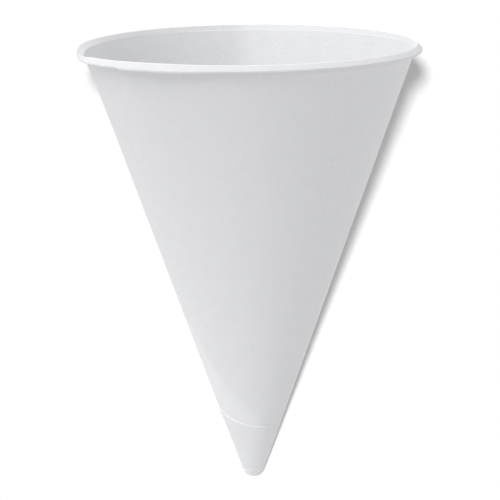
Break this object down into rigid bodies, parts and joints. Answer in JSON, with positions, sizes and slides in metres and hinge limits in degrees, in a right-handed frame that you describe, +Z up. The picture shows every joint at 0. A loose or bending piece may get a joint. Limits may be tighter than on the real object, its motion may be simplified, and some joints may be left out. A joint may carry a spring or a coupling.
{
  "type": "cone paper cup",
  "caption": "Cone-shaped white paper drinking cup, wound from one sheet, with a closed round tip and a rolled rim; lies on its side when it isn't held.",
  "frame": {"origin": "on the table, under the middle of the lying cup's bounding box", "axes": "+Z up, +Y level from the tip towards the mouth along the longest extent, +X square to both; the cup's own axis rises 20.8 degrees from +Y"},
  "size_m": [0.073, 0.0996, 0.0681],
  "materials": {
    "white_paper": "matte, uncoated white paper with a faint fibre texture"
  },
  "bodies": {
    "root": {"cup": "white_paper"}
  },
  "joints": []
}
